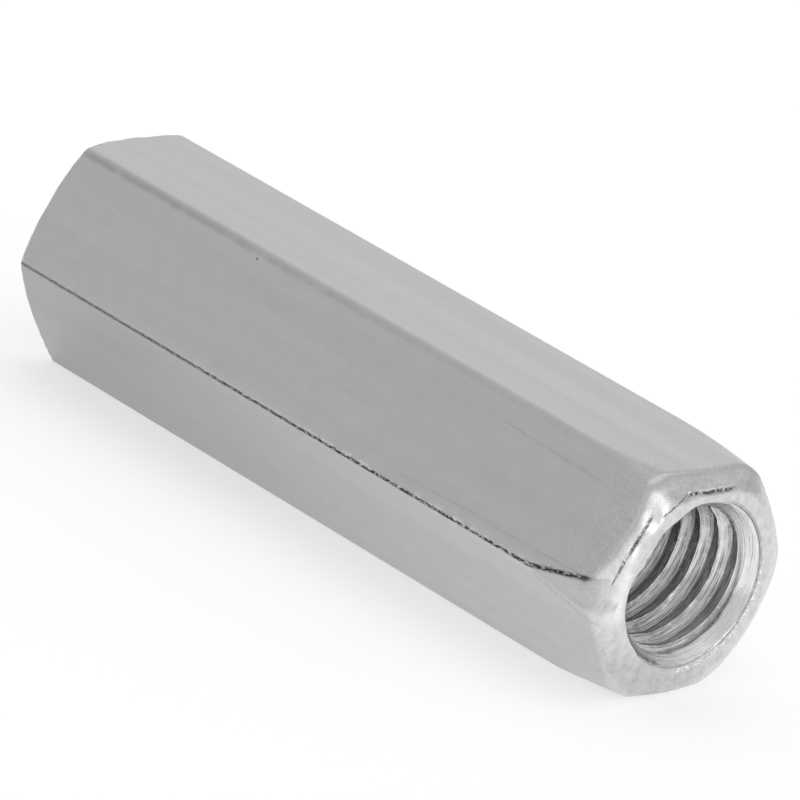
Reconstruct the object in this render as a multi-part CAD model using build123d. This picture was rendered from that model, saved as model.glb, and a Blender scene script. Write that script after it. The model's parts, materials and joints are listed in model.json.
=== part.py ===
from build123d import *

import math
import os

# Coupling nut: a long hexagon nut, turned and tapped from drawn bar, that joins two
# threaded rods end to end. It lies along X on one of its flats, as it comes to rest.
# The origin is at the middle of its underside, +X runs along the bore and +Z is up.
# Lengths are in millimetres, angles in degrees.

# Tapped bore, a coarse metric thread, left plain at the diameter of its crests
THREAD_DIAMETER = 10.0
THREAD_PITCH = 1.5
CREST_DEPTH_SHARE = 5 / 8 * math.sqrt(3) / 2  # of the pitch, from root to crest

# Drawn hexagon bar
NUT_LENGTH = 50.0
FLAT_WALL = 1.5  # metal between the thread's root and each flat, so 13 across flats
UPPER_ARRIS_RADIUS = 0.6  # the two worn corners beside the upper flat
ARRIS_RADIUS = 0.2  # the four crisp corners below them
FLAT_COUNT = 6

# Chamfer turned on the back end
CHAMFER_ANGLE = 30.0  # measured from the end plane
CHAMFER_INSET = 1.15  # from the flats in to the ring that stays flat on the end
LIP_RADIUS = 0.4  # rolls the flat ring over into the chamfer
EASED_EDGE_SHARE = 0.75  # of the crisp arris, where the chamfer runs out on the flats
TURNING_OVERRUN = 0.4  # how far the turned outlines run out past the corners

# Front end: a slim taper draws in the corners, and the flats bend in along its edges
TAPER_LENGTH = 5.2  # from the end face back to where it runs out on the corners
TAPER_ANGLE = 6.3  # measured from the axis
BEND_LENGTH = 1.2  # from the end face back to where the flats begin to bend
BEND_INSET = 0.55  # how far the flats have bent in at the end face

# Mouth countersunk into each end
MOUTH_RIM_SHARE = 0.75  # of the thread's depth, which it opens up at the end face
MOUTH_ANGLE = 33.0  # measured from the axis
MOUTH_EDGE_RADIUS = 0.12

# Worked out from the sizes above
half_length = NUT_LENGTH / 2
root_radius = THREAD_DIAMETER / 2
thread_depth = CREST_DEPTH_SHARE * THREAD_PITCH
crest_radius = root_radius - thread_depth
flat_radius = root_radius + FLAT_WALL
corner_radius = flat_radius / math.cos(math.pi / FLAT_COUNT)
stock_radius = corner_radius + TURNING_OVERRUN


def bar_section():
    """The drawn bar's hexagon, standing on a flat, with its corners rounded."""
    hexagon = RegularPolygon(flat_radius, FLAT_COUNT, major_radius=False)
    lower_corners = hexagon.vertices().sort_by(Axis.Y)[:-2]
    hexagon = fillet(lower_corners, ARRIS_RADIUS)
    upper_corners = hexagon.vertices().group_by(Axis.Y)[-1]
    return fillet(upper_corners, UPPER_ARRIS_RADIUS)


def drawn_bar():
    """The blank: the bar's section run along X over the length of the nut."""
    return extrude(Plane.YZ * bar_section(), amount=half_length, both=True)


def lathe_section():
    """Half section that turning and boring leave, from the bore out past the corners."""
    end_ring_radius = flat_radius - CHAMFER_INSET
    chamfer_run = math.tan(math.radians(CHAMFER_ANGLE)) * (stock_radius - end_ring_radius)
    mouth_rim = crest_radius + MOUTH_RIM_SHARE * thread_depth
    mouth_run = (mouth_rim - crest_radius) / math.tan(math.radians(MOUTH_ANGLE))
    outline = [
        (half_length - mouth_run, crest_radius),
        (half_length, mouth_rim),
        (half_length, stock_radius),
        (chamfer_run - half_length, stock_radius),
        (-half_length, end_ring_radius),
        (-half_length, mouth_rim),
        (mouth_run - half_length, crest_radius),
    ]
    section = make_face(Polyline(*outline, close=True))
    for end in (0, -1):
        mouth_edge = section.vertices().group_by(Axis.X)[end].sort_by(Axis.Y)[0]
        section = fillet(mouth_edge, MOUTH_EDGE_RADIUS)
    lip = section.vertices().group_by(Axis.X)[0].sort_by(Axis.Y)[-1]
    return fillet(lip, LIP_RADIUS)


def taper_section():
    """Half section of a round blank that narrows over the corners of the front end."""
    slope = math.tan(math.radians(TAPER_ANGLE))
    taper_start = half_length - TAPER_LENGTH - TURNING_OVERRUN / slope
    outline = [
        (-half_length, 0),
        (half_length, 0),
        (half_length, corner_radius - slope * TAPER_LENGTH),
        (taper_start, stock_radius),
        (-half_length, stock_radius),
    ]
    return make_face(Polyline(*outline, close=True))


def bent_blank():
    """A hexagon blank whose sides slope in past the flats over the front end's bend."""
    slope = BEND_INSET / BEND_LENGTH
    back_radius = flat_radius - BEND_INSET + slope * NUT_LENGTH
    hexagon = RegularPolygon(back_radius, FLAT_COUNT, major_radius=False)
    back_plane = Plane.YZ.offset(-half_length)
    return extrude(back_plane * hexagon, NUT_LENGTH, taper=math.degrees(math.atan(slope)))


def turned(section):
    """The round solid that a half section sweeps about the nut's axis."""
    return revolve(Plane.XZ * section, Axis.X)


def coupling_nut():
    """The bar turned and bored, its chamfer eased, its front tapered and bent in."""
    nut = drawn_bar() & turned(lathe_section())
    on_flats = nut.edges().filter_by(GeomType.HYPERBOLA)
    on_arrises = nut.edges().filter_by(GeomType.BSPLINE)
    nut = fillet(on_flats + on_arrises, EASED_EDGE_SHARE * ARRIS_RADIUS)
    nut = nut & turned(taper_section())
    nut = nut & bent_blank()
    return Pos(Z=flat_radius) * nut


os.makedirs("parts", exist_ok=True)
nut = coupling_nut()
nut.label = "coupling_nut"
export_step(nut, "parts/coupling_nut.step")
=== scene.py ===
"""Looks of the coupling nut: its true thread, its turned ends and its zinc plate.

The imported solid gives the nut's length, its flats and the diameter of its crests. The
visual nut is modelled over it, in the same frame and in metres, and stands for it.
"""

import json
import logging
import math
from contextlib import contextmanager
from dataclasses import dataclass
from enum import Enum
from functools import cached_property, reduce
from typing import Callable, Iterator

import bmesh
import bpy
from mathutils import Matrix, Vector, noise


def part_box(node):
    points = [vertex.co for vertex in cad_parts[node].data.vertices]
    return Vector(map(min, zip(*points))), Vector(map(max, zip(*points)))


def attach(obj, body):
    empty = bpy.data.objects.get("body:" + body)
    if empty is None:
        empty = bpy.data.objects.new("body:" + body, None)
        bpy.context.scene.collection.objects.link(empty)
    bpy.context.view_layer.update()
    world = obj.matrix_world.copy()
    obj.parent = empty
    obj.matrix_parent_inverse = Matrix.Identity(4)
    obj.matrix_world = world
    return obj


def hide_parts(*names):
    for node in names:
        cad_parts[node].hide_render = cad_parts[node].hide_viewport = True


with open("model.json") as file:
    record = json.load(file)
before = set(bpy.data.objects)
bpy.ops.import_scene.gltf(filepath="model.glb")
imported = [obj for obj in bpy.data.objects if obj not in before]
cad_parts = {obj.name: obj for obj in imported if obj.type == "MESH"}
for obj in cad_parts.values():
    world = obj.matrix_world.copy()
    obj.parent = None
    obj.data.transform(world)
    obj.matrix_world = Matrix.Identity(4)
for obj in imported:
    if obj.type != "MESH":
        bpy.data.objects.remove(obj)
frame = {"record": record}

MM = 0.001
NODE = "coupling_nut"
BODY = "root"
SIDE_FLAT = (-math.cos(math.pi / 6), 0.5)  # the way from the axis to the side flat, as Y and Z
SIDE_SIGHT = 1.22  # how far a mark moves out on the side flat, per unit of depth, as seen
UPPER_SIGHT = 0.26  # the same on the upper flat
log = logging.getLogger("coupling_nut")


class Pick(Enum):
    """What an edit selects: points, edges or faces."""

    POINTS = "VERT"
    EDGES = "EDGE"
    FACES = "FACE"


class End(Enum):
    """The two ends of the nut, by the sign of X."""

    FRONT = 1
    BACK = -1


def swell(value: float, start: float, end: float) -> float:
    """A smooth rise from 0 at the start to 1 at the end, read at a value."""
    share = min(max((value - start) / (end - start), 0), 1)
    return share * share * (3 - 2 * share)


def close_to(value: float, centre: float, inner: float, outer: float) -> float:
    """1 where a number is within inner of the centre, falling to 0 at outer."""
    return 1 - swell(abs(value - centre), inner, outer)


def softer_of(first: float, second: float, width: float) -> float:
    """The lesser of two heights, rounded off where they are within a width of each other."""
    overlap = max(width - abs(first - second), 0)
    return min(first, second) - overlap**2 / (4 * width)


def ragged(point: Vector, size: float) -> float:
    """Uneven noise from about -1 to 1, in lumps of a size, read at a point."""
    return noise.noise(point / size)


@dataclass(frozen=True)
class Span:
    """A stretch of the turn about the axis, in degrees, that comes and goes smoothly.

    Attributes:
        start: Where it starts to rise.
        full: Where it is in full.
        fading: Where it starts to fall.
        end: Where it has ended.
    """

    start: float
    full: float
    fading: float
    end: float

    def at(self, angle: float) -> float:
        """Its height at an angle, from 0 to 1."""
        return swell(angle, self.start, self.full) * (1 - swell(angle, self.fading, self.end))


@dataclass(frozen=True)
class NutSizes:
    """Main sizes of the nut, in metres.

    Attributes:
        half_length: From the middle of the nut to either end face.
        flat_radius: From the axis to each flat, which is also the axis's height.
        crest_radius: From the axis to the thread's crests.
        pitch: From one turn of the thread to the next.
        mouth_radius: From the axis to the countersunk mouth's rim on the end face.
        ring_radius: Outer radius of the ring that stays flat on the back end.
        nick_radius: From the axis to the row of nicks round the front mouth.
        side_burr: From the axis to the burr along the side flat, as seen.
    """

    half_length: float
    flat_radius: float
    crest_radius: float
    pitch: float = 1.5 * MM
    mouth_radius: float = 4.8 * MM
    ring_radius: float = 5.35 * MM
    nick_radius: float = 5.05 * MM
    side_burr: float = 5.9 * MM

    @classmethod
    def from_frame(cls) -> "NutSizes":
        """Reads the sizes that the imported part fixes.

        Returns:
            The sizes, with the crest radius from the record's front thread.
        """
        low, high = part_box(NODE)
        mounts = {mount["name"]: mount for mount in frame["record"]["mounts"]}
        crest = mounts["front_thread"]["dims"]["r_mm"] * MM
        return cls((high.x - low.x) / 2, (high.z - low.z) / 2, crest)

    @property
    def corner_radius(self) -> float:
        """From the axis to the sharp corners of the hexagon."""
        return self.flat_radius / math.cos(math.pi / 6)

    def from_axis(self, point: Vector) -> float:
        """Distance of a point from the nut's axis."""
        return math.hypot(point.y, point.z - self.flat_radius)

    def angle(self, point: Vector) -> float:
        """Angle of a point about the axis, from +Y towards +Z, in degrees."""
        return math.degrees(math.atan2(point.z - self.flat_radius, point.y)) % 360

    def depth(self, point: Vector) -> float:
        """How far a point lies inside the nearer end face."""
        return self.half_length - abs(point.x)

    def off_side(self, point: Vector) -> float:
        """From the axis towards the side flat, allowing for depth along the sight line."""
        across = SIDE_FLAT[0] * point.y + SIDE_FLAT[1] * (point.z - self.flat_radius)
        return across + SIDE_SIGHT * self.depth(point)

    def at_radius(self, point: Vector, radius: float) -> Vector:
        """Moves a point square to the axis.

        Args:
            point: The point.
            radius: How far from the axis it goes.

        Returns:
            The moved point.
        """
        scale = radius / self.from_axis(point)
        height = self.flat_radius + scale * (point.z - self.flat_radius)
        return Vector((point.x, scale * point.y, height))


@contextmanager
def editing(piece: bpy.types.Object) -> Iterator[None]:
    """Opens one piece in edit mode with nothing selected, and closes it after.

    Args:
        piece: The mesh to edit.
    """
    bpy.ops.object.select_all(action="DESELECT")
    piece.select_set(True)
    bpy.context.view_layer.objects.active = piece
    bpy.ops.object.mode_set(mode="EDIT")
    bpy.ops.mesh.select_all(action="DESELECT")
    yield
    bpy.ops.object.mode_set(mode="OBJECT")


def pick(kind: Pick, test: Callable[..., bool]) -> None:
    """Selects the points, edges or faces of the open mesh that pass a test.

    Args:
        kind: What to select.
        test: Takes one point, edge or face and says whether it is wanted.
    """
    bpy.ops.mesh.select_mode(type=kind.value)
    data = bpy.context.edit_object.data
    mesh = bmesh.from_edit_mesh(data)
    bpy.ops.mesh.select_all(action="DESELECT")
    elements = {Pick.POINTS: mesh.verts, Pick.EDGES: mesh.edges, Pick.FACES: mesh.faces}
    for element in elements[kind]:
        if test(element):
            element.select_set(True)
    mesh.select_flush_mode()
    bmesh.update_edit_mesh(data)


def move_picked(place: Callable[[Vector], Vector]) -> None:
    """Moves each selected point of the open mesh.

    Args:
        place: Takes a point and returns where it goes.
    """
    data = bpy.context.edit_object.data
    for vert in bmesh.from_edit_mesh(data).verts:
        if vert.select:
            vert.co = place(vert.co)
    bmesh.update_edit_mesh(data)


def runs_along(edge: bmesh.types.BMEdge) -> bool:
    """Whether an edge runs along the nut rather than round it."""
    first, second = (vert.co for vert in edge.verts)
    return abs(first.x - second.x) > 0.7 * (first - second).length


def open_rim(end: End) -> Callable[[bmesh.types.BMEdge], bool]:
    """A test for the open edges at one end of the mesh."""
    return lambda edge: edge.is_boundary and edge.verts[0].co.x * end.value > 0


@dataclass(frozen=True)
class HexBar:
    """The drawn bar, with its arrises worn and its two ends finished.

    Attributes:
        sizes: Main sizes of the nut.
        upper_arris_radius: Of the two worn corners beside the upper flat.
        arris_radius: Of the other four corners.
        chamfer_angle: Between the back chamfer and the end face.
        chamfer_roll: How softly the back chamfer rolls over into the flats.
        ring_gain: How much further the back end's ring reaches at the far top.
        ring_far_top: Angle about the axis at which it reaches furthest.
        lip: Steps of the back ring's rolled edge, as depth and way out from the ring.
        taper_length: How far the front corners are drawn in, from the end face.
        taper_angle: Between that taper and the axis.
        taper_roll: How softly the taper runs out.
        upper_roll: How softly it runs out on the two worn corners.
        bend_start: How deep the flats begin to bend in at the front end.
        bend_end: How deep the sleeve ends, before it folds in over the end faces.
        bend_inset: How far the flats would have bent in at the end face.
        knock: Where a knock has bent the side flat in further.
        knock_inset: How much further.
        toe: Radius at which the uneven front chamfer meets the end face, in
            millimetres, against the angle about the axis.
        toe_roll: How softly that chamfer rolls over at either side.
        soft_lip: Where it rolls over more softly.
        side_burr: Where the burr runs along the side flat.
        upper_burr: Where the burr runs along the upper flat.
        upper_burr_height: How high that burr lies above the axis.
        burr_depth: How deep the burrs are grooved.
        dent_depth: How deep the face is dented.
        smooth_side: Where it isn't dented.
        columns: Cuts across each flat.
        rings: Cuts along the bar, made twice over.
        end_zone: Length of each end that is cut into finer rings.
        end_rings: Cuts in each end.
        face_rings: Rings across the front end face.
        face_reach: How much of the way in to the mouth those rings go.
        rim_width: Of the mouth's rolled rim, where they would end.
        seam_depth: How deep the torn seams along the side arrises are.
    """

    sizes: NutSizes
    upper_arris_radius: float = 0.6 * MM
    arris_radius: float = 0.2 * MM
    chamfer_angle: float = math.radians(30)
    chamfer_roll: float = 0.15 * MM
    ring_gain: float = 1.0 * MM
    ring_far_top: float = 60
    lip: tuple[tuple[float, float], ...] = (
        (0.100 * MM, 0.173 * MM),
        (0.050 * MM, 0.090 * MM),
        (0.025 * MM, 0.042 * MM),
        (0.008 * MM, -0.010 * MM),
        (0.000 * MM, -0.087 * MM),
    )
    taper_length: float = 5.2 * MM
    taper_angle: float = math.radians(6.3)
    taper_roll: float = 0.08 * MM
    upper_roll: float = 0.3 * MM
    bend_start: float = 2.0 * MM
    bend_end: float = 0.45 * MM
    bend_inset: float = 0.15 * MM
    knock: Span = Span(118, 136, 166, 182)
    knock_inset: float = 0.9 * MM
    toe: tuple[tuple[float, float], ...] = (
        (0, 5.67),
        (60, 5.75),
        (75, 5.5),
        (90, 5.35),
        (105, 5.35),
        (120, 5.45),
        (135, 5.05),
        (150, 4.85),
        (165, 4.9),
        (180, 5.05),
        (195, 5.6),
        (210, 6.1),
        (240, 6.2),
        (300, 5.86),
        (360, 5.67),
    )
    toe_roll: float = 0.12 * MM
    soft_lip: Span = Span(50, 75, 120, 132)
    side_burr: Span = Span(130, 138, 172, 178)
    upper_burr: Span = Span(70, 78, 104, 114)
    upper_burr_height: float = 5.4 * MM
    burr_depth: float = 0.06 * MM
    dent_depth: float = 0.02 * MM
    smooth_side: Span = Span(60, 110, 195, 215)
    columns: int = 19
    rings: int = 12
    end_zone: float = 2.2 * MM
    end_rings: int = 24
    face_rings: int = 18
    face_reach: float = 0.94
    rim_width: float = 0.14 * MM
    seam_depth: float = 0.05 * MM

    def build(self) -> bpy.types.Object:
        """Models the bar as an open sleeve that folds in over both end faces.

        Returns:
            The sleeve, whose two open loops lie round the mouths.
        """
        sizes = self.sizes
        bpy.ops.object.select_all(action="DESELECT")
        bpy.ops.mesh.primitive_cylinder_add(
            vertices=6,
            radius=sizes.corner_radius,
            depth=2 * (sizes.half_length - self.bend_end),
            end_fill_type="NOTHING",
            location=(0, 0, sizes.flat_radius),
            rotation=(0, math.pi / 2, 0),
        )
        bpy.ops.object.transform_apply(location=True, rotation=True, scale=True)
        bar = bpy.context.object
        bar.name = "hexagon_bar"
        with editing(bar):
            self.round_arrises()
            self.divide()
            self.turn_ends()
            self.tear_seams()
            self.face_front()
            self.face_back()
        return bar

    def round_arrises(self) -> None:
        """Rolls the two corners beside the upper flat more than the other four."""
        top = 1.5 * self.sizes.flat_radius
        half_turn = math.tan(math.pi / 6)
        pick(Pick.EDGES, lambda edge: runs_along(edge) and edge.verts[0].co.z > top)
        upper = half_turn * self.upper_arris_radius
        bpy.ops.mesh.bevel(offset=upper, segments=8, affect="EDGES")
        pick(Pick.EDGES, lambda edge: runs_along(edge) and edge.verts[0].co.z < top)
        bpy.ops.mesh.bevel(offset=half_turn * self.arris_radius, segments=6, affect="EDGES")

    def divide(self) -> None:
        """Divides the flats across, the bar along and its two ends into fine rings."""
        flat = 0.5 * self.sizes.flat_radius
        pick(Pick.EDGES, lambda edge: not runs_along(edge) and edge.calc_length() > flat)
        bpy.ops.mesh.subdivide(number_cuts=self.columns)
        for _ in range(2):
            pick(Pick.EDGES, runs_along)
            bpy.ops.mesh.subdivide(number_cuts=self.rings)
        for end in End:
            for cut in range(1, self.end_rings + 1):
                depth = self.bend_end + self.end_zone * (cut / self.end_rings) ** 1.3
                bpy.ops.mesh.select_all(action="SELECT")
                bpy.ops.mesh.bisect(
                    plane_co=(end.value * (self.sizes.half_length - depth), 0, 0),
                    plane_no=(1, 0, 0),
                )

    def bent_flat(self, depth: float, angle: float) -> float:
        """From the axis to the flats near the front end.

        Args:
            depth: How far below the end face.
            angle: The angle about the axis, in degrees.

        Returns:
            The flats' distance, less where they bend in.
        """
        share = max(self.bend_start - depth, 0) / self.bend_start
        inset = self.bend_inset + self.knock.at(angle) * self.knock_inset
        return self.sizes.flat_radius - inset * share**2

    def turned(self, point: Vector) -> Vector:
        """Brings a point of the plain bar down to its chamfer, taper or bend.

        Args:
            point: The point on the plain bar.

        Returns:
            Where it lies on the finished bar.
        """
        sizes = self.sizes
        depth = sizes.depth(point)
        stock = sizes.from_axis(point)
        angle = sizes.angle(point)
        rise = depth / math.tan(self.chamfer_angle)
        if point.x < 0:
            chamfer = self.back_ring(angle) + rise
            return sizes.at_radius(point, softer_of(stock, chamfer, self.chamfer_roll))
        taper = sizes.corner_radius
        taper -= (self.taper_length - depth) * math.tan(self.taper_angle)
        bent = self.bent_flat(depth, angle) / math.cos(math.radians(angle % 60 - 30))
        upper = 45 < angle < 135
        drawn_in = softer_of(stock, taper, self.upper_roll if upper else self.taper_roll)
        # behind the taper the roll fades out, so that the flats stay where they are
        fading = 1 - 0.99 * swell(depth, self.taper_length, 1.9 * self.taper_length)
        drawn_in = softer_of(drawn_in, bent, fading * self.taper_roll)
        chamfer = self.toe_radius(angle) + rise
        return sizes.at_radius(point, softer_of(drawn_in, chamfer, self.lip_roll(angle)))

    def back_ring(self, angle: float) -> float:
        """Radius of the flat ring on the back end, which isn't chamfered evenly."""
        far_top = max(math.cos(math.radians(angle - self.ring_far_top)), 0)
        return self.sizes.ring_radius + self.ring_gain * far_top

    def lip_roll(self, angle: float) -> float:
        """How softly the front chamfer rolls over, most of all beside the upper flat."""
        return self.toe_roll * (1 + 3 * self.soft_lip.at(angle))

    def toe_radius(self, angle: float) -> float:
        """Radius of the front chamfer's toe.

        Args:
            angle: The angle about the axis, in degrees.

        Returns:
            The radius there.
        """
        for (start, first), (end, second) in zip(self.toe, self.toe[1:]):
            if angle <= end:
                return (first + swell(angle, start, end) * (second - first)) * MM
        return self.toe[-1][1] * MM

    def turn_ends(self) -> None:
        """Brings both ends down to the chamfer, the taper and the bend."""
        reach = 2 * self.taper_length
        pick(Pick.POINTS, lambda vert: self.sizes.depth(vert.co) < reach)
        move_picked(self.turned)

    def tear_seams(self) -> None:
        """Tears the two side arrises open, more so towards the front."""
        sizes = self.sizes
        arris = 0.12 * MM
        side = sizes.corner_radius - 1.2 * MM

        def on_arris(vert: bmesh.types.BMVert) -> bool:
            """Whether a point lies on one of the two arrises."""
            return abs(vert.co.z - sizes.flat_radius) < arris and abs(vert.co.y) > side

        def torn(point: Vector) -> Vector:
            """Where tearing has left a point.

            Args:
                point: The point on the whole arris.

            Returns:
                The point in the torn seam.
            """
            front = swell(point.x, -0.7 * sizes.half_length, 0.9 * sizes.half_length)
            uneven = ragged(point, 0.35 * MM) + ragged(point, 0.12 * MM)
            depth = self.seam_depth * (0.4 + front * (0.5 + 1.1 * uneven))
            near = close_to(point.z, sizes.flat_radius, 0.03 * MM, 0.11 * MM)
            near *= 1 - swell(point.x, 19 * MM, 20.5 * MM)
            return sizes.at_radius(point, sizes.from_axis(point) - near * depth)

        pick(Pick.POINTS, on_arris)
        move_picked(torn)

    def face_front(self) -> None:
        """Rolls the front edge over and domes the end face in to the mouth's rim."""
        sizes = self.sizes
        rim = sizes.mouth_radius + self.rim_width
        pick(Pick.EDGES, open_rim(End.FRONT))
        bpy.ops.mesh.subdivide(number_cuts=2)
        slope = 1 / math.tan(self.chamfer_angle)
        before = 0.0
        for step in range(1, self.face_rings + 1):
            pick(Pick.EDGES, open_rim(End.FRONT))
            bpy.ops.mesh.extrude_region_move()
            inward = self.face_reach * step / self.face_rings
            left = (1 - inward) / (1 - before)
            before = inward

            def placed(point: Vector) -> Vector:
                """Where a point of the newest ring goes.

                Args:
                    point: The point, still on the ring before.

                Returns:
                    The point on its own ring.
                """
                radius = rim + left * (sizes.from_axis(point) - rim)
                moved = sizes.at_radius(point, radius)
                angle = sizes.angle(point)
                above_toe = (radius - self.toe_radius(angle)) / slope
                depth = -softer_of(0, -above_toe, 0.6 * self.lip_roll(angle))
                moved.x = sizes.half_length - min(max(depth, 0), self.bend_end)
                return self.beaten(moved, inward)

            move_picked(placed)

    def beaten(self, point: Vector, inward: float) -> Vector:
        """Where handling has left a point of the front end face.

        Args:
            point: The point on the clean face.
            inward: How far in from the edge it lies, from 0 to 1.

        Returns:
            The point with the burr along the edge and the dents in the ring.
        """
        sizes = self.sizes
        angle = sizes.angle(point)
        height = point.z - sizes.flat_radius
        uneven = ragged(point, 0.45 * MM) + 0.8 * ragged(point, 0.17 * MM)
        side = close_to(sizes.off_side(point), sizes.side_burr, 0.03 * MM, 0.13 * MM)
        side *= self.side_burr.at(angle)
        upper = close_to(height, self.upper_burr_height, 0.04 * MM, 0.18 * MM)
        upper *= self.upper_burr.at(angle)
        nicked = close_to(sizes.from_axis(point), sizes.nick_radius, 0.1 * MM, 0.25 * MM)
        nicked *= swell(angle, 265, 275)
        sunk = self.burr_depth * max(side, upper, 0.6 * nicked) * max(0.6 + uneven, 0)
        dent = self.dent_depth * max(0.2 + ragged(point, 0.9 * MM), 0)
        dent *= swell(inward, 0.1, 0.3) * (1 - swell(inward, 0.7, 0.9))
        dent *= 1 - self.smooth_side.at(angle)
        point.x -= min(sunk + dent, 2 * self.burr_depth)
        return point

    def face_back(self) -> None:
        """Rolls the back chamfer over into the flat ring of the end face."""
        sizes = self.sizes
        for depth, outward in self.lip:
            pick(Pick.EDGES, open_rim(End.BACK))
            bpy.ops.mesh.extrude_region_move()

            def placed(point: Vector) -> Vector:
                """Where a point of the newest ring goes.

                Args:
                    point: The point, still on the ring before.

                Returns:
                    The point on its own ring.
                """
                radius = self.back_ring(sizes.angle(point)) + outward
                moved = sizes.at_radius(point, radius)
                moved.x = depth - sizes.half_length
                return moved

            move_picked(placed)


@dataclass(frozen=True)
class TappedBore:
    """The right-hand thread with its countersunk mouths, as an open tube.

    Attributes:
        sizes: Main sizes of the nut.
        crest_share: Share of the pitch that each crest takes.
        root_share: Share of the pitch that each root takes.
        cut_depth: From the crests out to the roots.
        mark_depth: How deep the tap's marks run along each turn.
        steps: Columns in each turn.
        front_crest_depth: How deep the first crest lies beside the axis, on +Y.
        mouth_depth: How deep the countersinks clear the thread away.
        mouth_slope: How fast the countersinks close, per unit of depth.
        rim_depth: How deep the countersinks' rims are rolled.
        rim_shares: Steps of that roll, as depth and flare, in shares of its depth.
        run_in: Length over which the thread comes up to its full depth.
        tear: How far the crests are torn.
    """

    sizes: NutSizes
    crest_share: float = 0.2
    root_share: float = 0.2
    cut_depth: float = 0.56 * MM
    mark_depth: float = 0.03 * MM
    steps: int = 84
    front_crest_depth: float = 1.24 * MM
    mouth_depth: float = 0.65 * MM
    mouth_slope: float = 0.65
    rim_depth: float = 0.12 * MM
    rim_shares: tuple[tuple[float, float], ...] = ((0.5, 0.1), (0.2, 0.3), (0.04, 0.65), (0, 1))
    run_in: float = 0.7 * MM
    tear: float = 0.05 * MM

    def build(self) -> bpy.types.Object:
        """Models the tube from rim to rim.

        Returns:
            The tube, whose two open loops lie on the end faces.
        """
        bpy.ops.object.select_all(action="DESELECT")
        bpy.ops.mesh.primitive_plane_add(size=MM, location=(0, 0, self.sizes.flat_radius))
        bore = bpy.context.object
        bore.name = "tapped_bore"
        with editing(bore):
            self.draw_turn()
        self.wind(bore)
        with editing(bore):
            self.tear_crests()
            self.ream_mouths()
        return bore

    def draw_turn(self) -> None:
        """Draws one turn's section, from the middle of one crest to the next."""
        sizes = self.sizes
        crest = self.crest_share * sizes.pitch
        root = self.root_share * sizes.pitch
        flank = (sizes.pitch - crest - root) / 2
        turns_before = math.ceil((2 * sizes.half_length) / sizes.pitch) + 1
        start = sizes.half_length - self.front_crest_depth - turns_before * sizes.pitch
        bpy.ops.mesh.select_mode(type=Pick.POINTS.value)
        bpy.ops.mesh.select_all(action="SELECT")
        bpy.ops.mesh.merge(type="CENTER")
        bpy.ops.transform.translate(value=(start, sizes.crest_radius, 0))
        for along, outward in (
            (crest / 2, 0),
            (flank, self.cut_depth),
            (root, 0),
            (flank, -self.cut_depth),
            (crest / 2, 0),
        ):
            bpy.ops.mesh.extrude_region_move(
                TRANSFORM_OT_translate={"value": (along, outward, 0)}
            )
        pick(Pick.EDGES, lambda edge: abs(edge.verts[0].co.y - edge.verts[1].co.y) > 0)
        bpy.ops.mesh.subdivide(number_cuts=4)
        pick(Pick.EDGES, lambda edge: abs(edge.verts[0].co.y - edge.verts[1].co.y) == 0)
        bpy.ops.mesh.subdivide(number_cuts=2)
        last = start + sizes.pitch

        def marked(point: Vector) -> Vector:
            """Where the tap's marks have left a point of the section."""
            uneven = ragged(Vector((point.x, 0, 0)), 0.07 * MM)
            return point + Vector((0, self.mark_depth * uneven, 0))

        pick(Pick.POINTS, lambda vert: start < vert.co.x - 0.01 * MM < last - 0.02 * MM)
        move_picked(marked)

    def wind(self, bore: bpy.types.Object) -> None:
        """Winds the section into the thread, past both ends of the nut.

        Args:
            bore: The piece that holds one turn's section.
        """
        sizes = self.sizes
        bpy.ops.object.modifier_add(type="SCREW")
        screw = bore.modifiers[-1]
        screw.axis = "X"
        screw.screw_offset = sizes.pitch
        screw.iterations = math.ceil(2 * sizes.half_length / sizes.pitch) + 3
        screw.steps = screw.render_steps = self.steps
        bpy.ops.object.modifier_apply(modifier=screw.name)
        bpy.ops.object.transform_apply(location=True, rotation=True, scale=True)
        with editing(bore):
            bpy.ops.mesh.select_all(action="SELECT")
            bpy.ops.mesh.remove_doubles(threshold=0.001 * MM)

    def tear_crests(self) -> None:
        """Tears the crests unevenly, as a worn tap does."""
        sizes = self.sizes

        def torn(point: Vector) -> Vector:
            """Where tearing has left a point of a crest."""
            uneven = ragged(point, 0.8 * MM) + 1.2 * ragged(point, 0.3 * MM)
            return sizes.at_radius(point, sizes.from_axis(point) + self.tear * uneven)

        high = sizes.crest_radius + 0.2 * self.cut_depth
        pick(Pick.POINTS, lambda vert: sizes.from_axis(vert.co) < high)
        move_picked(torn)

    def mouth(self, depth: float) -> float:
        """Radius of the countersink at a depth below the end face."""
        return self.sizes.mouth_radius - self.mouth_slope * depth

    def ream_mouths(self) -> None:
        """Cuts the tube to length, countersinks its mouths and rolls out their rims."""
        sizes = self.sizes
        for end in End:
            bpy.ops.mesh.select_all(action="SELECT")
            bpy.ops.mesh.bisect(
                plane_co=(end.value * (sizes.half_length - self.rim_depth), 0, 0),
                plane_no=(end.value, 0, 0),
                clear_outer=True,
            )

        def reamed(point: Vector) -> Vector:
            """Where the countersink leaves a point of the thread.

            Args:
                point: The point on the thread.

            Returns:
                The point on the thread or the countersink.
            """
            depth = sizes.depth(point)
            run = min(max((depth - self.mouth_depth) / self.run_in, 0), 1)
            cut = sizes.crest_radius + run * (sizes.from_axis(point) - sizes.crest_radius)
            return sizes.at_radius(point, max(cut, self.mouth(depth)))

        pick(Pick.POINTS, lambda vert: sizes.depth(vert.co) < 5 * self.mouth_depth)
        move_picked(reamed)
        for depth_share, flare_share in self.rim_shares:
            pick(Pick.EDGES, lambda edge: edge.is_boundary)
            bpy.ops.mesh.extrude_region_move()
            self.roll_rim(depth_share, flare_share)

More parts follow.
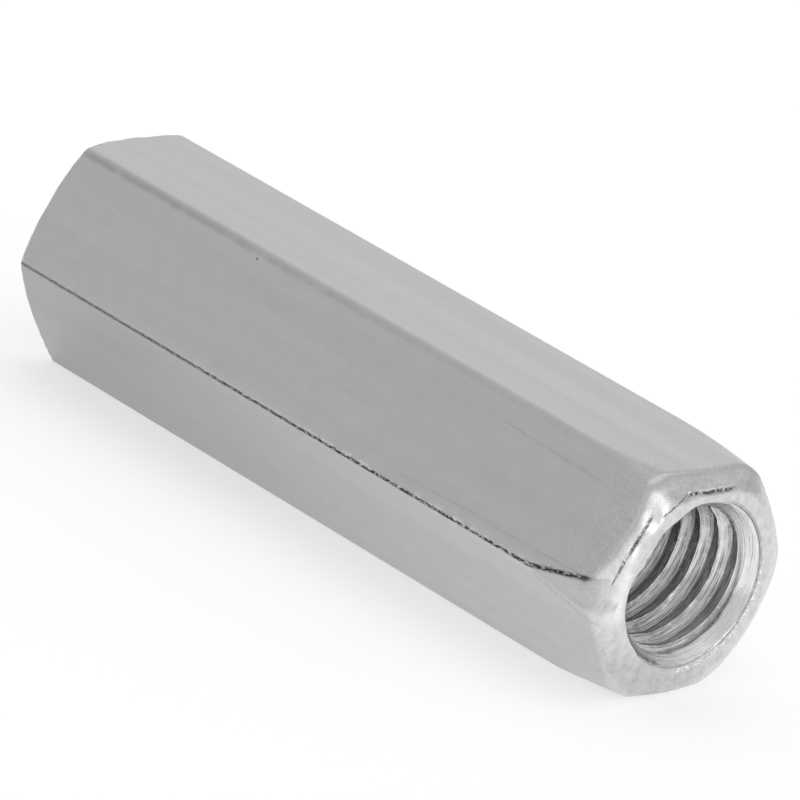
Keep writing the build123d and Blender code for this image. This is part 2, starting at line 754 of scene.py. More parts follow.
    def roll_rim(self, depth_share: float, flare_share: float) -> None:
        """Moves the newest ring of each rim out on the roll.

        Args:
            depth_share: How deep the ring stays, as a share of the rim's depth.
            flare_share: How far the ring flares, as a share of the rim's depth.
        """
        sizes = self.sizes
        depth = depth_share * self.rim_depth
        radius = self.mouth(depth) + flare_share * self.rim_depth

        def rolled(point: Vector) -> Vector:
            """Where a point of the newest ring goes.

            Args:
                point: The point, still on the ring before.

            Returns:
                The point on its own ring.
            """
            moved = sizes.at_radius(point, radius)
            moved.x = math.copysign(sizes.half_length - depth, point.x)
            return moved

        move_picked(rolled)


@dataclass(frozen=True)
class CouplingNut:
    """The whole nut: the bar and the bore, closed round the two mouths.

    Attributes:
        sizes: Main sizes of the nut.
        bulge: How far a knock has pushed the front rim in.
        knocked: Where the rim is pushed in.
        torn: Where the rim is torn as well.
        smooth_angle: Between faces that are shaded as one.
    """

    sizes: NutSizes
    bulge: float = 0.3 * MM
    knocked: Span = Span(98, 122, 150, 188)
    torn: Span = Span(134, 146, 160, 174)
    smooth_angle: float = math.radians(32)

    def build(self) -> bpy.types.Object:
        """Joins the bar and the bore and closes the end faces.

        Returns:
            The finished mesh, at the origin.
        """
        bar = HexBar(self.sizes).build()
        bore = TappedBore(self.sizes).build()
        bpy.ops.object.select_all(action="DESELECT")
        bore.select_set(True)
        bar.select_set(True)
        bpy.context.view_layer.objects.active = bar
        bpy.ops.object.join()
        bar.name = bar.data.name = "nut"
        with editing(bar):
            for end in End:
                pick(Pick.EDGES, open_rim(end))
                bpy.ops.mesh.bridge_edge_loops()
            self.push_in_rim()
            bpy.ops.mesh.select_all(action="SELECT")
            bpy.ops.mesh.normals_make_consistent(inside=False)
        bpy.ops.object.shade_smooth_by_angle(angle=self.smooth_angle)
        return bar

    def push_in_rim(self) -> None:
        """Pushes the front rim in where a knock has closed part of the mouth."""
        sizes = self.sizes
        reach = sizes.half_length - 0.8 * MM
        outermost = 5.7 * MM

        def on_rim(vert: bmesh.types.BMVert) -> bool:
            """Whether a point lies near the front rim."""
            return vert.co.x > reach and sizes.from_axis(vert.co) < outermost

        def pushed(point: Vector) -> Vector:
            """Where the knock has left a point.

            Args:
                point: The point on the round rim.

            Returns:
                The point on the knocked rim.
            """
            angle = sizes.angle(point)
            radius = sizes.from_axis(point)
            fading = 1 - swell(sizes.depth(point), 0.1 * MM, 0.75 * MM)
            fading *= 1 - swell(radius, 4.7 * MM, 5.3 * MM)
            torn = self.torn.at(angle) * (0.9 + 0.6 * ragged(point, 0.4 * MM))
            torn *= 1 - swell(radius, 4.7 * MM, 5.05 * MM)
            inward = self.bulge * (self.knocked.at(angle) + torn) * fading
            return sizes.at_radius(point, radius - inward)

        pick(Pick.POINTS, on_rim)
        move_picked(pushed)


class Finish(Enum):
    """The three finishes, in the order of the nut's material slots."""

    DRAWN = 0
    TURNED = 1
    TAPPED = 2


Socket = bpy.types.NodeSocket
Value = Socket | float


class NodeBench:
    """A bench on which one material's nodes are set out and wired.

    Attributes:
        material: The material.
        tree: The material's nodes and links.
    """

    def __init__(self, name: str) -> None:
        """Starts an empty material.

        Args:
            name: The material's name.
        """
        self.material = bpy.data.materials.new(name)
        self.material.use_nodes = True
        self.tree = self.material.node_tree
        self.tree.nodes.clear()

    def feed(self, socket: Socket, value: object) -> None:
        """Links or sets one input.

        Args:
            socket: The input.
            value: Another node's output, or a plain value.
        """
        if isinstance(value, bpy.types.NodeSocket):
            self.tree.links.new(value, socket)
        else:
            socket.default_value = value

    def add(self, kind: str, *values: object, **options: object) -> bpy.types.Node:
        """Adds a node.

        Args:
            kind: Blender's name for the kind of node.
            values: What its first inputs take, in their order.
            options: The node's own options.

        Returns:
            The new node.
        """
        node = self.tree.nodes.new(kind)
        for option, value in options.items():
            setattr(node, option, value)
        for socket, value in zip(node.inputs, values):
            self.feed(socket, value)
        return node

    def fed(self, kind: str, inputs: dict[str, object]) -> Socket:
        """Adds a node and feeds its inputs by their names.

        Args:
            kind: Blender's name for the kind of node.
            inputs: What each named input takes.

        Returns:
            The node's first output.
        """
        node = self.add(kind)
        for name, value in inputs.items():
            self.feed(node.inputs[name], value)
        return node.outputs[0]

    def math(self, operation: str, first: Value, second: Value = 0.0) -> Socket:
        """Works out one sum, by Blender's name for the operation."""
        return self.add("ShaderNodeMath", first, second, operation=operation).outputs[0]

    def less(self, first: Value, second: Value) -> Socket:
        """One number less another."""
        return self.math("SUBTRACT", first, second)

    def either(self, first: Value, second: Value) -> Socket:
        """The greater of two numbers."""
        return self.math("MAXIMUM", first, second)

    def product(self, *values: Value) -> Socket:
        """Multiplies several numbers."""
        return reduce(lambda first, second: self.math("MULTIPLY", first, second), values)

    def total(self, *values: Value) -> Socket:
        """Adds up several numbers."""
        return reduce(lambda first, second: self.math("ADD", first, second), values)

    def mix_of(self, *terms: tuple[Socket, float]) -> Socket:
        """Adds up several numbers, each with its own weight."""
        return self.total(*(self.product(value, weight) for value, weight in terms))

    def fit(self, value: Socket, low: Value, high: Value, to_low: Value, to_high: Value) -> Socket:
        """Brings a number smoothly from the range low to high into to_low to to_high."""
        given = (value, low, high, to_low, to_high)
        return self.add("ShaderNodeMapRange", *given, interpolation_type="SMOOTHSTEP").outputs[0]

    def near(self, value: Socket, centre: float, inner: float, outer: float) -> Socket:
        """1 where a number is within inner of the centre, falling to 0 at outer."""
        off = self.math("ABSOLUTE", self.less(value, centre))
        return self.fit(off, inner, outer, 1.0, 0.0)

    def window(self, value: Socket, start: float, end: float, fade: float) -> Socket:
        """1 where a number lies between start and end, fading to 0 on either side."""
        rise = self.fit(value, start - fade, start, 0.0, 1.0)
        return self.product(rise, self.fit(value, end, end + fade, 1.0, 0.0))

    def darkened(self, tone: Value, mask: Socket, share: float) -> Socket:
        """Takes a share off a tone where a mask is 1."""
        return self.product(tone, self.less(1.0, self.product(mask, share)))

    def sway(self, noise_height: Socket, reach: Value) -> Socket:
        """Noise brought to either side of 0, over a reach."""
        return self.product(self.less(noise_height, 0.5), reach)

    def vector(self, x: Value, y: Value, z: Value) -> Socket:
        """Puts three numbers together."""
        return self.add("ShaderNodeCombineXYZ", x, y, z).outputs[0]

    def grain(self, vector: Socket, size: float, detail: float = 4.0) -> Socket:
        """Cloudy noise about 0.5, in lumps of a size, with so many finer layers."""
        inputs = {"Vector": vector, "Scale": 1 / size, "Detail": detail}
        return self.fed("ShaderNodeTexNoise", inputs)

    def bump(self, height: Socket, rise: float, strength: float, under: Socket | None = None) -> Socket:
        """Fine relief.

        Args:
            height: The relief.
            rise: How high it stands, in metres.
            strength: How much of it shows.
            under: Broader relief below it.

        Returns:
            The surface's direction.
        """
        inputs = {"Height": height, "Distance": rise, "Strength": strength}
        if under is not None:
            inputs["Normal"] = under
        return self.fed("ShaderNodeBump", inputs)

    def close(self, shader: Socket) -> bpy.types.Material:
        """Closes the material with its shader."""
        self.add("ShaderNodeOutputMaterial", shader)
        return self.material

    def metal(self, level: Socket, roughness: Value, normal: Socket) -> bpy.types.Material:
        """Closes the material with a neutral metal surface.

        Args:
            level: How bright the metal is.
            roughness: How blurred its reflections are.
            normal: The surface's direction.

        Returns:
            The finished material.
        """
        grey = self.add("ShaderNodeCombineColor", level, level, level).outputs[0]
        inputs = {"Metallic": 1.0, "Base Color": grey, "Roughness": roughness, "Normal": normal}
        return self.close(self.fed("ShaderNodeBsdfPrincipled", inputs))


class PlateBench(NodeBench):
    """A bench for one finish of the plate, with the place on the nut at hand.

    Attributes:
        sizes: Main sizes of the nut.
        point: The place on the nut.
        x: How far along the nut it is.
        y: How far across the nut it is.
        z: How high above the floor it is.
        height: How high above the axis it is.
    """

    def __init__(self, name: str, sizes: NutSizes) -> None:
        """Starts the finish.

        Args:
            name: The material's name.
            sizes: Main sizes of the nut.
        """
        super().__init__(name)
        self.sizes = sizes
        self.point = self.add("ShaderNodeTexCoord").outputs["Object"]
        self.x, self.y, self.z = self.add("ShaderNodeSeparateXYZ", self.point).outputs
        self.height = self.less(self.z, sizes.flat_radius)

    @cached_property
    def radius(self) -> Socket:
        """Distance from the axis."""
        y, height = self.y, self.height
        return self.math("SQRT", self.total(self.product(y, y), self.product(height, height)))

    @cached_property
    def angle(self) -> Socket:
        """Angle about the axis, from -180 to 180 degrees."""
        return self.product(self.math("ARCTAN2", self.height, self.y), 180 / math.pi)

    @cached_property
    def depth(self) -> Socket:
        """How far behind the front end face."""
        return self.less(self.sizes.half_length, self.x)

    @cached_property
    def near_side(self) -> Socket:
        """1 on the camera's side of the nut, 0 on the far side."""
        return self.fit(self.y, -1 * MM, 1 * MM, 1.0, 0.0)

    @cached_property
    def down_side(self) -> Socket:
        """How far down the side flat from its middle line."""
        return self.mix_of((self.y, -SIDE_FLAT[1]), (self.height, SIDE_FLAT[0]))


@dataclass(frozen=True)
class Scratch:
    """A straight scratch on the side flat.

    Attributes:
        start: Where it starts along the nut.
        end: Where it ends along the nut.
        start_down: Where it starts, from the flat's middle line down.
        end_down: Where it ends, from the flat's middle line down.
    """

    start: float
    end: float
    start_down: float
    end_down: float


@dataclass(frozen=True)
class DrawnZinc:
    """Zinc plate over the drawn flats: a fine mottle, faint marks and worn arrises.

    Attributes:
        sizes: Main sizes of the nut.
        level: How bright the plate is.
        roughness: How dull the plate is.
        stretch: How much the drawing marks are drawn out along the nut.
        facet_start: Where the taper starts to cut a facet along the side arris.
        seam_end: Where the dark line in the side seam ends.
        side_scratches: Scratches on the side flat.
        pit_place: The pit in the side flat, along the nut and from its middle line down.
    """

    sizes: NutSizes
    level: float = 0.70
    roughness: float = 0.30
    stretch: float = 0.03
    facet_start: float = 19.8 * MM
    seam_end: float = 23.7 * MM
    side_scratches: tuple[Scratch, ...] = (
        Scratch(9.0 * MM, 16.6 * MM, 3.09 * MM, 2.77 * MM),
        Scratch(15.6 * MM, 20.0 * MM, 2.95 * MM, 2.86 * MM),
        Scratch(20.3 * MM, 23.6 * MM, 2.84 * MM, 2.72 * MM),
        Scratch(15.0 * MM, 21.2 * MM, -2.12 * MM, -2.03 * MM),
        Scratch(13.5 * MM, 20.0 * MM, -2.26 * MM, -2.15 * MM),
    )
    pit_place: tuple[float, float] = (-8.37 * MM, -3.13 * MM)

    def make(self) -> bpy.types.Material:
        """Sets out the finish.

        Returns:
            The material.
        """
        bench = PlateBench("drawn_zinc", self.sizes)
        drawn = bench.vector(bench.product(bench.x, self.stretch), bench.y, bench.z)
        marks = bench.grain(drawn, 0.25 * MM, 5)
        bands = bench.grain(drawn, 1.5 * MM, 2)
        cloud = bench.grain(bench.point, 1.1 * MM)
        speckle = bench.grain(bench.point, 0.16 * MM, 3)
        seam = self.seam(bench)
        tone = bench.total(
            bench.fit(cloud, 0.3, 0.7, 0.985 * self.level, 1.015 * self.level),
            bench.mix_of((marks, 0.05), (speckle, 0.05), (bands, 0.13)),
            -0.117,
            bench.sway(speckle, bench.fit(bench.x, 19 * MM, 25 * MM, 0.0, 0.28)),
        )
        # painted shade on the lower side flat, deepest at the back
        tone = bench.product(tone, self.lower_flat_shade(bench))
        tone = bench.darkened(tone, self.worn_arris(bench), 0.25)
        tone = bench.darkened(tone, self.scratches(bench), 0.17)
        tone = bench.darkened(tone, self.facet_marks(bench), 0.2)
        tone = bench.darkened(tone, self.pit(bench), 0.6)
        tone = bench.darkened(tone, seam, 0.92)
        dull = bench.fit(cloud, 0.3, 0.7, self.roughness - 0.02, self.roughness + 0.02)
        dull = bench.total(dull, bench.product(seam, 0.25))
        fine = bench.mix_of((marks, 0.4), (speckle, 0.6), (seam, -4.0))
        relief = bench.bump(fine, 0.003 * MM, 0.5, bench.bump(cloud, 0.01 * MM, 0.3))
        return bench.metal(tone, dull, relief)

    def seam(self, bench: PlateBench) -> Socket:
        """The dark broken line along the torn seams of the two side arrises.

        Args:
            bench: The finish's bench.

        Returns:
            1 in the seam, 0 away from it.
        """
        x = bench.x
        wander = bench.grain(bench.vector(x, 0.0, 0.0), 0.5 * MM, 5)
        flakes = bench.vector(bench.product(x, 0.35), bench.height, 0.0)
        flakes = bench.grain(flakes, 0.11 * MM, 4)
        front = bench.fit(x, 17 * MM, 21 * MM, 0.0, 1.0)
        level = bench.total(bench.height, bench.sway(wander, 0.08 * MM))
        level = bench.less(level, self.climb(bench))
        width = bench.fit(front, 0.0, 1.0, 0.15 * MM, 0.2 * MM)
        reach = bench.math("DIVIDE", bench.math("ABSOLUTE", level), width)
        line = bench.fit(reach, 0.2, 1.0, 1.0, 0.0)
        gaps = bench.fit(x, -20 * MM, 8 * MM, 0.7, 0.3)
        broken = bench.fit(flakes, 0.38, 0.54, gaps, 1.0)
        strength = bench.fit(x, -25 * MM, 5 * MM, 0.75, 1.0)
        ending = bench.fit(x, self.seam_end, self.seam_end + 0.5 * MM, 1.0, 0.0)
        return bench.product(line, broken, strength, ending)

    def climb(self, bench: PlateBench) -> Socket:
        """Height of the facet's upper edge, where the taper cuts the side arris."""
        return bench.product(bench.either(bench.less(bench.x, self.facet_start), 0.0), 0.2)

    def facet_marks(self, bench: PlateBench) -> Socket:
        """Broken dark marks along the lower edge of the facet where the taper cuts the side arris.

        Args:
            bench: The finish's bench.

        Returns:
            1 in a mark, 0 away from it.
        """
        place = bench.vector(bench.x, bench.height, 0.0)
        wander = bench.grain(place, 0.5 * MM, 5)
        fall = bench.product(bench.less(bench.x, 19.2 * MM), 0.3)
        below = bench.total(bench.height, fall, bench.sway(wander, 0.9 * MM))
        below = bench.near(below, 0.0, 0.03 * MM, 0.2 * MM)
        flakes = bench.fit(bench.grain(place, 0.2 * MM, 4), 0.44, 0.56, 0.0, 1.0)
        return bench.product(below, flakes, bench.fit(bench.x, 19.5 * MM, 21 * MM, 0.0, 1.0))

    def worn_arris(self, bench: PlateBench) -> Socket:
        """The darker mottle that lies along the two rounded upper arrises.

        Args:
            bench: The finish's bench.

        Returns:
            1 where the arris is darkest, 0 away from it.
        """
        wander = bench.grain(bench.vector(bench.x, bench.y, 0.0), 0.7 * MM, 5)
        place = bench.total(bench.z, bench.sway(wander, 0.12 * MM))
        arris = 2 * self.sizes.flat_radius - 0.25 * MM
        band = bench.near(place, arris, 0.0, 0.28 * MM)
        mottle = bench.fit(wander, 0.36, 0.6, 0.6, 1.0)
        back = bench.fit(bench.x, -24 * MM, 20 * MM, 1.0, 0.15)
        return bench.product(band, mottle, back)

    def scratches(self, bench: PlateBench) -> Socket:
        """Fine scratches beside the seam, where the front end has been handled.

        Args:
            bench: The finish's bench.

        Returns:
            1 in a scratch, 0 away from it.
        """
        lines: Value = 0.0
        for scratch in self.side_scratches:
            slope = (scratch.end_down - scratch.start_down) / (scratch.end - scratch.start)
            run = bench.less(bench.x, scratch.start)
            off = bench.less(bench.down_side, bench.product(run, slope))
            line = bench.near(off, scratch.start_down, 0.01 * MM, 0.05 * MM)
            reach = bench.window(bench.x, scratch.start, scratch.end, 0.6 * MM)
            lines = bench.either(lines, bench.product(line, reach))
        uneven = bench.grain(bench.vector(bench.x, bench.y, bench.height), 0.4 * MM, 4)
        return bench.product(lines, bench.near_side, bench.fit(uneven, 0.3, 0.6, 0.2, 1.0))

    def pit(self, bench: PlateBench) -> Socket:
        """A tiny pit in the side flat.

        Args:
            bench: The finish's bench.

        Returns:
            1 in the pit, 0 away from it.
        """
        along, down = self.pit_place
        off_along = bench.less(bench.x, along)
        off_down = bench.less(bench.down_side, down)
        square = bench.total(bench.product(off_along, off_along), bench.product(off_down, off_down))
        hollow = bench.fit(bench.math("SQRT", square), 0.04 * MM, 0.12 * MM, 1.0, 0.0)
        return bench.product(hollow, bench.near_side)

    def lower_flat_shade(self, bench: PlateBench) -> Socket:
        """Painted shade on the lower side flat, deepest at the back.

        Args:
            bench: The finish's bench.

        Returns:
            The share of the plate's brightness that is left.
        """
        x, height = bench.x, bench.height
        climb = self.climb(bench)
        below_seam = bench.fit(bench.less(height, climb), -0.08 * MM, 0.02 * MM, 1.0, 0.0)
        facet = bench.fit(bench.total(height, climb), -0.2 * MM, 0.05 * MM, 0.0, 0.14)
        loss = bench.total(
            bench.fit(x, -30 * MM, 30 * MM, 0.36, 0.16),
            facet,
            bench.product(
                bench.fit(x, -25 * MM, 0.0, 0.08, 0.0),
                bench.fit(height, -6.5 * MM, -0.3 * MM, 0.0, 1.0),
            ),
        )
        fading = bench.fit(x, 24.0 * MM, 24.7 * MM, 1.0, 0.0)
        return bench.less(1.0, bench.product(bench.near_side, below_seam, loss, fading))


@dataclass(frozen=True)
class TurnedZinc:
    """Zinc plate over the turned ends: marks round the axis and knocks, with painted shade in the
    burrs, a painted highlight and painted glints.

    Attributes:
        sizes: Main sizes of the nut.
        level: How bright the plate is.
        roughness: How dull the plate is.
        upper_burr: Height of the burr along the upper flat above the axis, as seen.
        fold: From the axis to the fold between the two burrs.
        fold_along: Direction of that fold across the end face, as Y and Z.
    """

    sizes: NutSizes
    level: float = 0.69
    roughness: float = 0.27
    upper_burr: float = 5.42 * MM
    fold: float = 5.44 * MM
    fold_along: tuple[float, float] = (0.845, 0.535)

    def make(self) -> bpy.types.Material:
        """Sets out the finish.

        Returns:
            The material.
        """
        bench = PlateBench("turned_zinc", self.sizes)
        slow = bench.product(bench.total(bench.y, bench.height), 0.05)
        marks = bench.grain(bench.vector(bench.x, bench.radius, slow), 0.2 * MM, 5)
        cloud = bench.grain(bench.point, 0.7 * MM)
        speckle = bench.grain(bench.point, 0.14 * MM, 4)
        blotch = bench.grain(bench.point, 0.5 * MM, 4)
        crack_shade = self.burr_crack_shade(bench, speckle)
        nicks_and_glints = self.nicks_and_glints(bench, speckle)
        tone = bench.fit(cloud, 0.3, 0.7, 0.94 * self.level, 1.06 * self.level)
        tone = bench.product(tone, bench.fit(blotch, 0.35, 0.6, 0.90, 1.02))
        on_face = bench.fit(bench.depth, 0.15 * MM, 0.45 * MM, 1.0, 0.0)
        # painted highlight on the end face's rolled lip, on the camera's side
        painted_lip_highlight = bench.product(
            bench.fit(bench.y, -5.3 * MM, -4.3 * MM, 0.18, 0.0),
            bench.fit(bench.height, -2.4 * MM, -0.9 * MM, 0.0, 1.0),
            on_face,
        )
        # darker towards the bottom of the end face
        low = bench.product(
            bench.fit(bench.height, -4.5 * MM, -3.0 * MM, 1.0, 0.0),
            bench.fit(bench.y, 1 * MM, 4 * MM, 1.0, 0.0),
            on_face,
        )
        tone = bench.darkened(bench.total(tone, painted_lip_highlight), low, 0.14)
        # painted glints: the nicks are made brighter than the plate
        tone = bench.total(tone, bench.product(nicks_and_glints, 0.32))
        tone = bench.darkened(tone, self.rim_lines(bench, cloud), 0.8)
        # painted shade in the cracks of the burrs and the fold
        tone = bench.darkened(tone, crack_shade, 0.85)
        dull = bench.fit(cloud, 0.3, 0.7, self.roughness - 0.04, self.roughness + 0.04)
        sparkle = bench.product(speckle, bench.either(crack_shade, nicks_and_glints))
        fine = bench.mix_of((marks, 0.25), (speckle, 0.3), (sparkle, 4.0))
        relief = bench.bump(fine, 0.01 * MM, 0.6, bench.bump(cloud, 0.03 * MM, 0.5))
        return bench.metal(tone, dull, relief)

    def burr_crack_shade(self, bench: PlateBench, speckle: Socket) -> Socket:
        """Painted shade in the cracks of the front end's burrs, along the side flat and the upper flat,
        and in the fold between them.

        Args:
            bench: The finish's bench.
            speckle: Fine noise.

        Returns:
            1 in the shade, 0 away from it.
        """
        y, height, depth = bench.y, bench.height, bench.depth
        wander = bench.grain(bench.vector(bench.x, y, height), 0.6 * MM, 4)
        drift = bench.sway(wander, 0.3 * MM)
        off_side = bench.mix_of((y, SIDE_FLAT[0]), (height, SIDE_FLAT[1]), (depth, SIDE_SIGHT))
        off_side = bench.total(off_side, drift)
        off_top = bench.mix_of((height, 1.0), (depth, UPPER_SIGHT), (drift, 0.7))
        across, up = self.fold_along
        off_fold = bench.mix_of((y, -up), (height, across), (drift, 0.6))
        along_fold = bench.mix_of((y, across), (height, up))
        broken = bench.fit(speckle, 0.36, 0.56, 0.15, 1.0)
        side = bench.product(
            bench.near(off_side, self.sizes.side_burr, 0.04 * MM, 0.24 * MM),
            bench.window(bench.angle, 134, 172, 6),
            bench.product(bench.fit(wander, 0.36, 0.54, 0.2, 1.0), 0.85),
        )
        upper = bench.product(
            bench.near(off_top, self.upper_burr, 0.05 * MM, 0.17 * MM),
            bench.window(bench.angle, 74, 104, 5),
        )
        fold = bench.product(
            bench.near(off_fold, self.fold, 0.01 * MM, 0.07 * MM),
            bench.window(along_fold, -0.3 * MM, 1.3 * MM, 0.2 * MM),
        )
        lines = bench.either(bench.either(side, upper), fold)
        front = bench.fit(bench.x, 23 * MM, 23.5 * MM, 0.0, 1.0)
        return bench.product(lines, broken, front)

    def nicks_and_glints(self, bench: PlateBench, speckle: Socket) -> Socket:
        """Nicks in the ring, to the right of the mouth and below it, with painted glints in them.

        Args:
            bench: The finish's bench.
            speckle: Fine noise.

        Returns:
            1 in a nick, 0 away from it.
        """
        ring = bench.near(bench.radius, self.sizes.nick_radius, 0.08 * MM, 0.24 * MM)
        patch = bench.fit(speckle, 0.48, 0.55, 0.0, 1.0)
        return bench.product(ring, patch, bench.window(bench.angle, -88, 4, 6))

    def rim_lines(self, bench: PlateBench, cloud: Socket) -> Socket:
        """Fine dark lines that the countersink left along the mouth's rim.

        Args:
            bench: The finish's bench.
            cloud: The plate's own mottle.

        Returns:
            1 in a line, 0 away from it.
        """
        rim = self.sizes.mouth_radius
        inner = bench.near(bench.radius, rim + 0.06 * MM, 0.01 * MM, 0.055 * MM)
        outer = bench.near(bench.radius, rim + 0.19 * MM, 0.0, 0.03 * MM)
        worn = bench.near(bench.radius, rim + 0.12 * MM, 0.05 * MM, 0.12 * MM)
        lines = bench.mix_of((inner, 0.7), (outer, 0.6), (worn, 0.25))
        uneven = bench.fit(cloud, 0.3, 0.5, 0.4, 1.0)
        return bench.product(lines, bench.window(bench.angle, -45, 60, 25), uneven)


@dataclass(frozen=True)
class TappedZinc:
    """Zinc plate in the thread: the tap's marks follow the turns, and painted shade darkens the roots.

    Attributes:
        sizes: Main sizes of the nut.
        level: How bright the plate is.
        roughness: How dull the plate is.
    """

    sizes: NutSizes
    level: float = 0.95
    roughness: float = 0.30

    def make(self) -> bpy.types.Material:
        """Sets out the finish.

        Returns:
            The material.
        """
        bench = PlateBench("tapped_zinc", self.sizes)
        lead = bench.product(bench.angle, self.sizes.pitch / 360)
        wound = bench.math("FLOORED_MODULO", bench.less(bench.x, lead), self.sizes.pitch)
        slow = bench.product(bench.total(bench.y, bench.height), 0.025)
        turns = bench.vector(wound, bench.product(bench.radius, 0.5), slow)
        marks = bench.grain(turns, 0.07 * MM, 5)
        cloud = bench.grain(bench.point, 0.5 * MM)
        patchy = bench.fit(cloud, 0.3, 0.6, 0.5, 1.0)
        front, crest = self.sizes.half_length, self.sizes.crest_radius
        inside = bench.fit(bench.x, front - 1.3 * MM, front - 0.8 * MM, 1.0, 0.0)
        # painted shade in the thread's roots, lighter on the right
        root_shade = bench.product(
            inside,
            bench.fit(bench.radius, crest + 0.2 * MM, crest + 0.5 * MM, 0.0, 1.0),
            bench.fit(bench.y, -1.5 * MM, 3.0 * MM, 1.0, 0.2),
        )
        lines = bench.fit(marks, 0.36, 0.54, 1.0, 0.0)
        shown = bench.fit(bench.product(inside, patchy), 0.0, 1.0, 0.1, 0.62)
        tone = bench.darkened(self.level, bench.product(lines, shown), 1.0)
        tone = bench.darkened(tone, bench.product(root_shade, patchy), 0.5)
        # painted shadow along the lower-left of the front countersink
        tone = bench.darkened(tone, self.painted_rim_shadow(bench, cloud), 0.75)
        dull = bench.fit(cloud, 0.3, 0.7, self.roughness - 0.05, self.roughness + 0.05)
        relief = bench.bump(marks, 0.05 * MM, 0.8, bench.bump(cloud, 0.03 * MM, 0.6))
        return bench.metal(tone, dull, relief)

    def painted_rim_shadow(self, bench: PlateBench, cloud: Socket) -> Socket:
        """Painted shadow that lies in the front countersink, low on the camera's side.

        Args:
            bench: The finish's bench.
            cloud: The plate's own mottle.

        Returns:
            1 in the dirt, 0 away from it.
        """
        front = self.sizes.half_length
        mouth = bench.fit(bench.x, front - 0.6 * MM, front - 0.5 * MM, 0.0, 1.0)
        inner = self.sizes.mouth_radius - 0.14 * MM
        line = bench.near(bench.radius, inner, 0.02 * MM, 0.14 * MM)
        patchy = bench.fit(cloud, 0.38, 0.56, 0.3, 1.0)
        return bench.product(mouth, line, patchy, bench.window(bench.angle, -148, -112, 12))


@dataclass(frozen=True)
class Dressing:
    """Gives each face of the nut its finish.

    Attributes:
        sizes: Main sizes of the nut.
        edge_depth: How deep the drawn finish ends at the front.
        rim_depth: How deep the thread's finish begins in the mouths.
        chamfer_facing: How far a back face may face backwards and still be drawn.
    """

    sizes: NutSizes
    edge_depth: float = 0.45 * MM
    rim_depth: float = 0.06 * MM
    chamfer_facing: float = 0.75

    def dress(self, nut: bpy.types.Object) -> None:
        """Adds the three materials and shares them out.

        Args:
            nut: The whole nut.
        """
        for finish in (DrawnZinc, TurnedZinc, TappedZinc):
            nut.data.materials.append(finish(self.sizes).make())
        with editing(nut):
            self.assign(nut, Finish.TURNED, lambda face: not self.on_bar(face))
            self.assign(nut, Finish.TAPPED, self.in_bore)

    def on_bar(self, face: bmesh.types.BMFace) -> bool:
        """Whether a face belongs to the drawn bar.

        Args:
            face: The face.

        Returns:
            True on the flats, the arrises and the front taper.
        """
        middle = face.calc_center_median()
        radius = self.sizes.from_axis(middle)
        if middle.x > 0:
            outside = radius > self.sizes.mouth_radius
            return outside and self.sizes.depth(middle) > self.edge_depth
        return radius > self.sizes.ring_radius and face.normal.x > -self.chamfer_facing

    def in_bore(self, face: bmesh.types.BMFace) -> bool:
        """Whether a face belongs to the thread.

        Args:
            face: The face.

        Returns:
            True inside the mouths' rims.
        """
        middle = face.calc_center_median()
        inside = self.sizes.from_axis(middle) < self.sizes.mouth_radius
        return inside and self.sizes.depth(middle) > self.rim_depth

    def assign(self, nut: bpy.types.Object, finish: Finish, test: Callable[..., bool]) -> None:
        """Gives one finish to the faces that pass a test.

        Args:
            nut: The whole nut, open for editing.
            finish: The finish.
            test: Says whether a face takes it.
        """
        pick(Pick.FACES, test)
        nut.active_material_index = finish.value
        bpy.ops.object.material_slot_assign()


@dataclass(frozen=True)
class SoftBox:
    """A square studio light that faces the nut.

    Attributes:
        name: The light's name.
        direction: Where it stands, seen from the nut.
        distance: How far off it stands.
        side: The length of its sides.
        radiance: How bright its face is, where white is 1.
    """

    name: str
    direction: tuple[float, float, float]
    distance: float
    side: float
    radiance: float

    def hang(self, target: Vector) -> None:
        """Puts the light in its place.

        Args:
            target: The middle of the nut.
        """
        toward = Vector(self.direction).normalized()
        bpy.ops.object.light_add(type="AREA", location=target + toward * self.distance)
        lamp = bpy.context.object
        lamp.name = self.name
        lamp.rotation_euler = toward.to_track_quat("Z", "Y").to_euler()
        lamp.data.shape = "SQUARE"
        lamp.data.size = self.side
        lamp.data.energy = math.pi * self.radiance * self.side**2


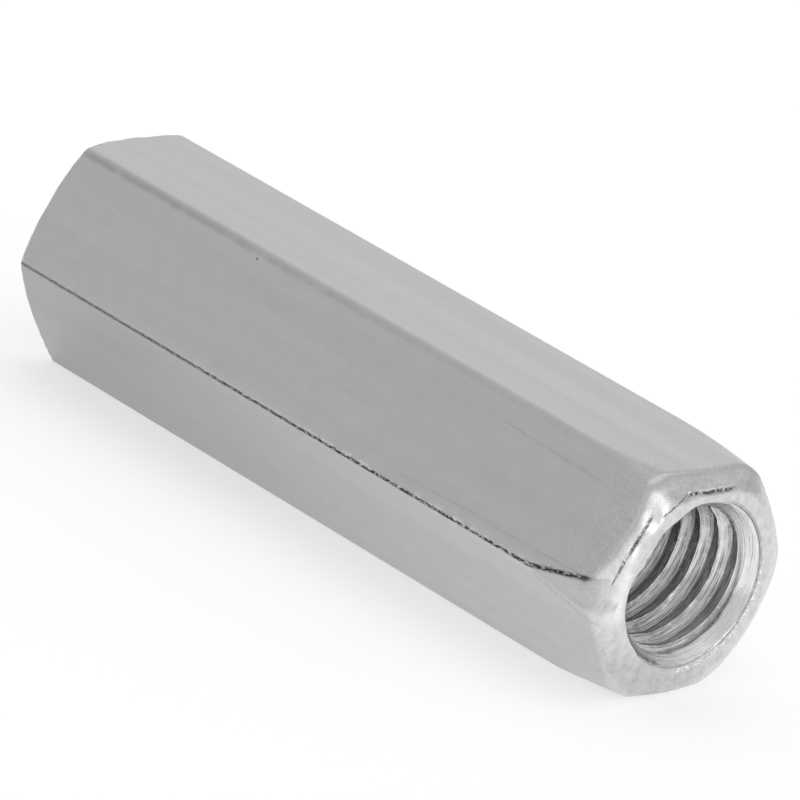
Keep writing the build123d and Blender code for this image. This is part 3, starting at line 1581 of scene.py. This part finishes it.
@dataclass(frozen=True)
class Studio:
    """Pale floor, soft light and the camera.

    Attributes:
        sizes: Main sizes of the nut.
        floor_side: The length of the floor's sides.
        floor_level: How pale the floor is.
        floor_glow: How much whiter it looks than the light on it makes it.
        room_level: How bright the room is all round.
        camera_offset: From the middle of the nut to the camera.
        aim_offset: From the middle of the nut to where the camera looks.
        roll: How far the camera leans over.
        lens: The camera's focal length, in millimetres.
        sensor: The width of its picture, in millimetres.
        lights: The lamps.
    """

    sizes: NutSizes
    floor_side: float = 6.0
    floor_level: float = 0.8
    floor_glow: float = 0.485
    room_level: float = 0.55
    camera_offset: tuple[float, float, float] = (301.9644 * MM, -302.7541 * MM, 160.3726 * MM)
    aim_offset: tuple[float, float, float] = (0.2224 * MM, 0.468 * MM, 0.4678 * MM)
    roll: float = math.radians(-11.137)
    lens: float = 371.382
    sensor: float = 36.0
    lights: tuple[SoftBox, ...] = (
        SoftBox("key_light", (0.95, 0.1, 0.14), 1.2, 0.6, 1.4),
        SoftBox("front_light", (0.75, -0.6, 0.42), 1.2, 0.45, 0.15),
        SoftBox("side_light", (0.62, 0.66, 0.42), 1.3, 0.8, 0.14),
        SoftBox("top_light", (0.1, 0.1, 1.0), 1.5, 1.5, 0.3),
        SoftBox("back_light", (-0.653, 0.72, 0.36), 1.6, 1.4, 0.17),
    )

    @property
    def target(self) -> Vector:
        """The middle of the nut."""
        return Vector((0, 0, self.sizes.flat_radius))

    def set_up(self) -> None:
        """Lays the floor, lights the room and sets the camera."""
        self.lay_floor()
        self.light_room()
        self.set_camera()

    def lay_floor(self) -> None:
        """Lays a pale floor that keeps the nut's shadow."""
        bpy.ops.object.select_all(action="DESELECT")
        bpy.ops.mesh.primitive_plane_add(size=self.floor_side)
        floor = bpy.context.object
        floor.name = "floor"
        bench = NodeBench("pale_floor")
        path = bench.add("ShaderNodeLightPath").outputs
        seen = bench.either(path["Is Camera Ray"], path["Is Glossy Ray"])
        seen = bench.either(seen, path["Is Transmission Ray"])
        level = self.floor_level
        paper = bench.fed("ShaderNodeBsdfDiffuse", {"Color": (level, level, level, 1)})
        glow = bench.fed("ShaderNodeEmission", {"Strength": bench.product(seen, self.floor_glow)})
        both = bench.add("ShaderNodeAddShader", paper, glow).outputs[0]
        floor.data.materials.append(bench.close(both))

    def light_room(self) -> None:
        """Gives the room an even light and hangs the lamps."""
        scene = bpy.context.scene
        scene.world = bpy.data.worlds.new("room")
        scene.world.use_nodes = True
        level = self.room_level
        background = scene.world.node_tree.nodes["Background"]
        background.inputs["Color"].default_value = (level, level, level, 1)
        for light in self.lights:
            light.hang(self.target)

    def set_camera(self) -> None:
        """Sets the camera at the photograph's angle."""
        place = self.target + Vector(self.camera_offset)
        ahead = (self.target + Vector(self.aim_offset) - place).normalized()
        level_right = ahead.cross(Vector((0, 0, 1))).normalized()
        level_up = level_right.cross(ahead)
        up = math.cos(self.roll) * level_up + math.sin(self.roll) * level_right
        turn = Matrix((ahead.cross(up), up, -ahead)).transposed()
        bpy.ops.object.camera_add(location=place, rotation=turn.to_euler())
        camera = bpy.context.object
        camera.data.lens = self.lens
        camera.data.sensor_width = self.sensor
        bpy.context.scene.camera = camera
        bpy.context.scene.view_settings.view_transform = "Standard"


def main() -> None:
    """Builds the nut, its stage and the camera, and reports each piece."""
    logging.basicConfig(level=logging.INFO, format="%(name)s: %(message)s")
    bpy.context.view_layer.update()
    sizes = NutSizes.from_frame()
    nut = CouplingNut(sizes).build()
    Dressing(sizes).dress(nut)
    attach(nut, BODY)
    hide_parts(NODE)
    log.info("nut: %d faces", len(nut.data.polygons))
    Studio(sizes).set_up()


if __name__ == "__main__":
    main()
